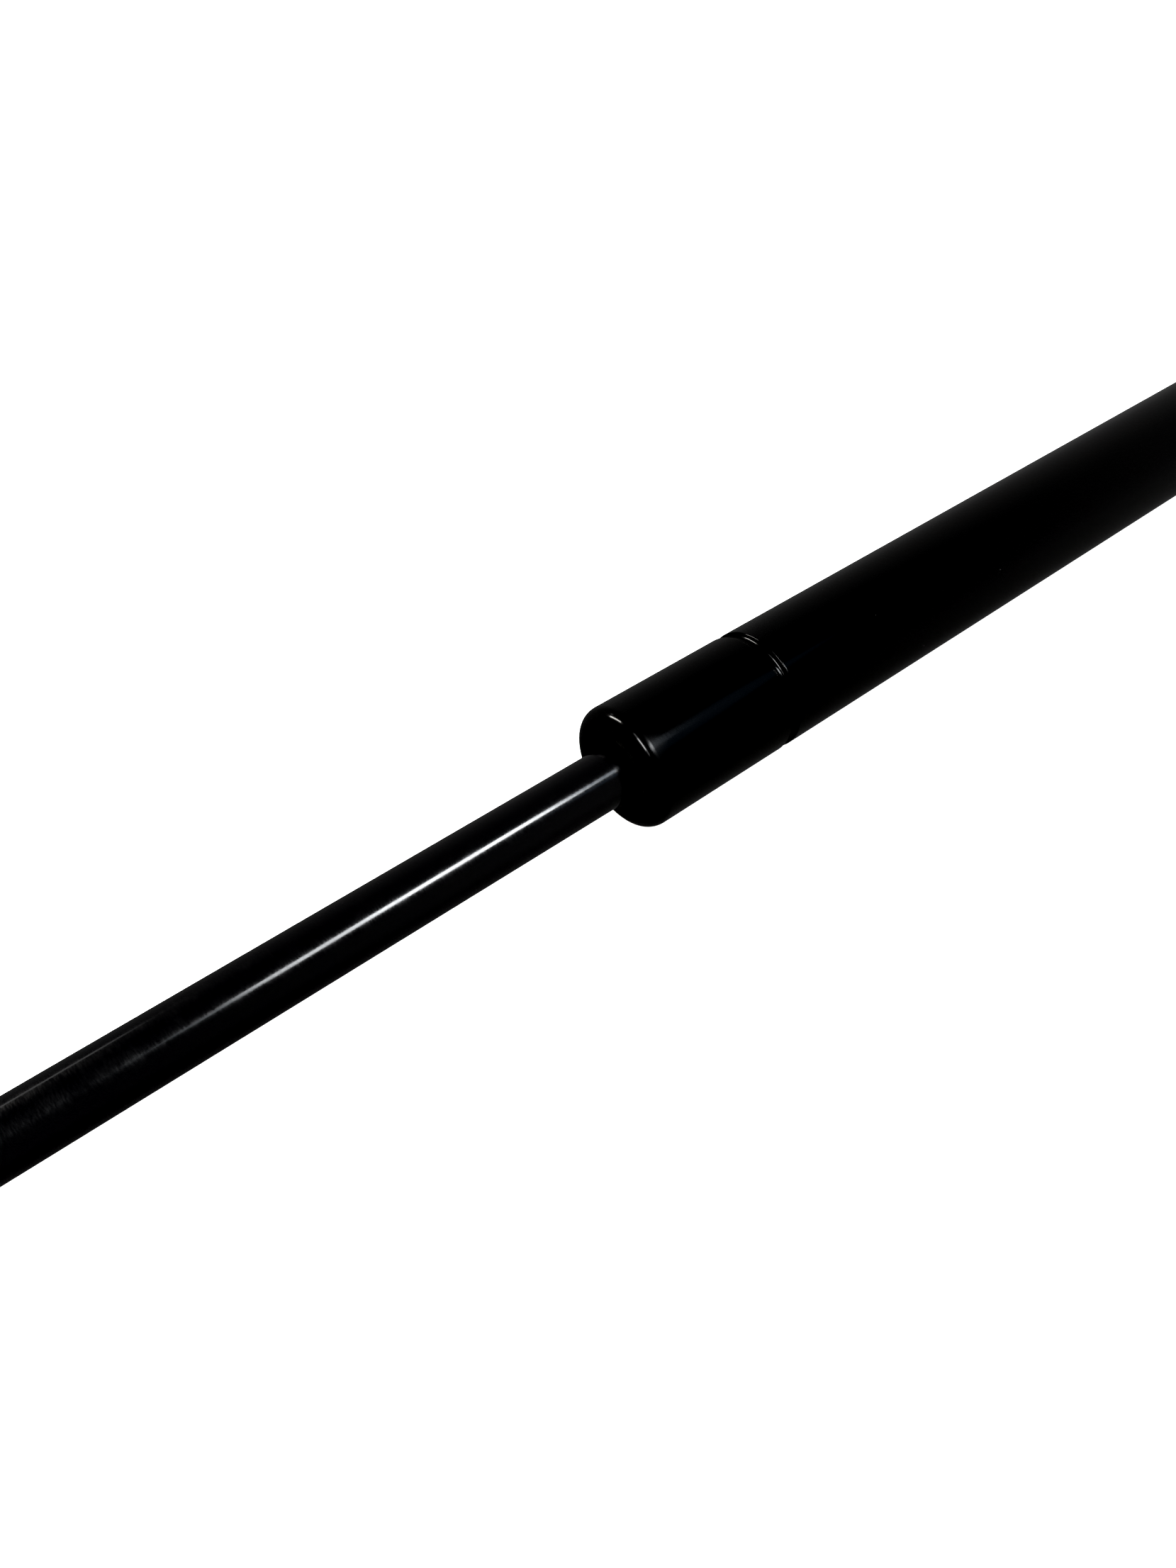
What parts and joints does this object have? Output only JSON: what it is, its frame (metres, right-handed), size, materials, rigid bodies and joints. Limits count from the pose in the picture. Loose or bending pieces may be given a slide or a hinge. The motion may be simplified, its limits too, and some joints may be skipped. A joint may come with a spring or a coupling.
{
  "type": "gas spring",
  "caption": "Compression gas spring: a black rod that slides out of a satin black pressure tube, with a ball socket and threaded ball stud at each end.",
  "frame": {"origin": "centre of the flat seat under the hexagon of the ball stud at the tube's end, 14 mm below the spring's axis", "axes": "+X along the spring from the rod's end to the tube's closed end; +Z from the seat up to the axis, so the studs' threads point to -Z"},
  "size_m": [0.5234, 0.018, 0.037],
  "materials": {
    "tube_paint": "satin black coating on steel tube",
    "rod_nitride": "black nitrided and ground steel, glossy",
    "zinc_steel": "bright zinc plated steel",
    "black_steel": "black phosphated and oiled steel",
    "plug_steel": "plain turned steel",
    "spring_steel": "oiled spring steel",
    "piston_alloy": "die-cast alloy",
    "bush_bronze": "sintered bronze",
    "guide_plastic": "moulded natural acetal",
    "ring_ptfe": "filled fluoropolymer",
    "rubber": "black nitrile rubber"
  },
  "bodies": {
    "tube": {"pressure_tube": "tube_paint", "end_plug": "plug_steel", "end_plug_o_ring": "rubber", "mouth_cover_washer": "black_steel", "wiper_ring": "rubber", "rod_guide": "guide_plastic", "guide_bush": "bush_bronze", "rod_seal": "rubber", "seal_support_ring": "zinc_steel", "tube_lock_nut": "zinc_steel", "tube_ball_socket": "zinc_steel"},
    "piston_ring": {"piston_ring": "ring_ptfe"},
    "rod": {"piston_rod": "rod_nitride", "piston_washer": "zinc_steel", "piston": "piston_alloy", "valve_disc": "spring_steel", "rod_lock_nut": "zinc_steel", "rod_ball_socket": "zinc_steel"},
    "tube_snap_ring": {"tube_snap_ring": "spring_steel"},
    "tube_ball_stud": {"tube_ball_stud": "zinc_steel"},
    "rod_snap_ring": {"rod_snap_ring": "spring_steel"},
    "rod_ball_stud": {"rod_ball_stud": "zinc_steel"}
  },
  "joints": [
    {"name": "rod_slide", "type": "slide", "parent": "tube", "child": "piston_ring", "axis": [1, 0, 0], "range_m": [0, 0.2], "stiffness_N_per_m": 225, "springref_m": -0.667},
    {"name": "rod_spin", "type": "hinge", "parent": "piston_ring", "child": "rod", "pos_m": [-0.50736, 0, 0.014], "axis": [1, 0, 0], "continuous": true},
    {"name": "tube_ball_spin", "type": "hinge", "parent": "tube", "child": "tube_snap_ring", "pos_m": [0, 0, 0.014], "axis": [0, 0, 1], "continuous": true},
    {"name": "tube_ball_tilt", "type": "hinge", "parent": "tube_snap_ring", "child": "tube_ball_stud", "pos_m": [0, 0, 0.014], "axis": [0, 1, 0], "range_deg": [-18, 18]},
    {"name": "rod_ball_spin", "type": "hinge", "parent": "rod", "child": "rod_snap_ring", "pos_m": [-0.50736, 0, 0.014], "axis": [0, 0, 1], "continuous": true},
    {"name": "rod_ball_tilt", "type": "hinge", "parent": "rod_snap_ring", "child": "rod_ball_stud", "pos_m": [-0.50736, 0, 0.014], "axis": [0, 1, 0], "range_deg": [-18, 18]}
  ]
}
